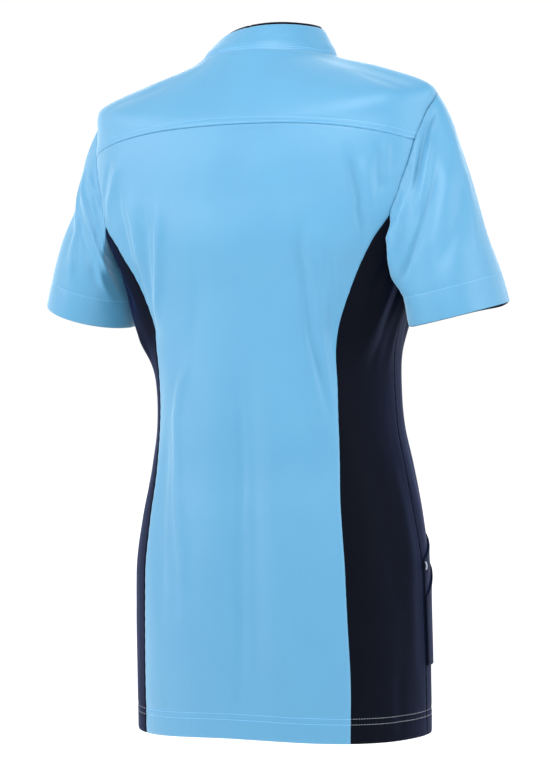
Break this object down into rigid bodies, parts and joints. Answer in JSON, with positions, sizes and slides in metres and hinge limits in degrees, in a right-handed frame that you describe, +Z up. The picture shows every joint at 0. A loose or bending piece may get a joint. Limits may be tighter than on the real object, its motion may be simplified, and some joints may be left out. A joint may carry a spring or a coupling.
{
  "type": "polo tunic",
  "caption": "Short-sleeved hip-length tunic in worn form, with a stand collar, buttoned placket, back yoke, contrast side panels and layered side pockets.",
  "frame": {"origin": "midway between the shoulders, level with the sides of the neck, where the wearer's shoulders hold the garment", "axes": "+Z up, the front faces -Y, the wearer's left is +X"},
  "size_m": [0.5423, 0.2525, 0.7584],
  "materials": {
    "blue_knit": "light blue polyester knit, matte with a soft sheen",
    "navy_knit": "dark navy polyester knit, matte",
    "grey_tape": "light grey woven tape",
    "button": "light blue polyester button, satin gloss"
  },
  "bodies": {
    "root": {"back_panel": "blue_knit", "back_yoke": "blue_knit", "front_panel": "blue_knit", "side_back_right": "navy_knit", "side_back_left": "navy_knit", "side_front_right": "navy_knit", "side_front_left": "navy_knit", "sleeve_right": "blue_knit", "sleeve_left": "blue_knit", "sleeve_facing_right": "navy_knit", "sleeve_facing_left": "navy_knit", "collar_outer": "blue_knit", "collar_inner": "navy_knit", "placket_top": "blue_knit", "placket_under": "blue_knit", "button_1": "button", "button_2": "button", "button_3": "button", "pocket_back_right": "navy_knit", "pocket_back_left": "navy_knit", "pocket_front_right": "navy_knit", "pocket_front_left": "navy_knit", "pocket_loop_right": "grey_tape", "pocket_loop_left": "grey_tape"}
  },
  "joints": []
}
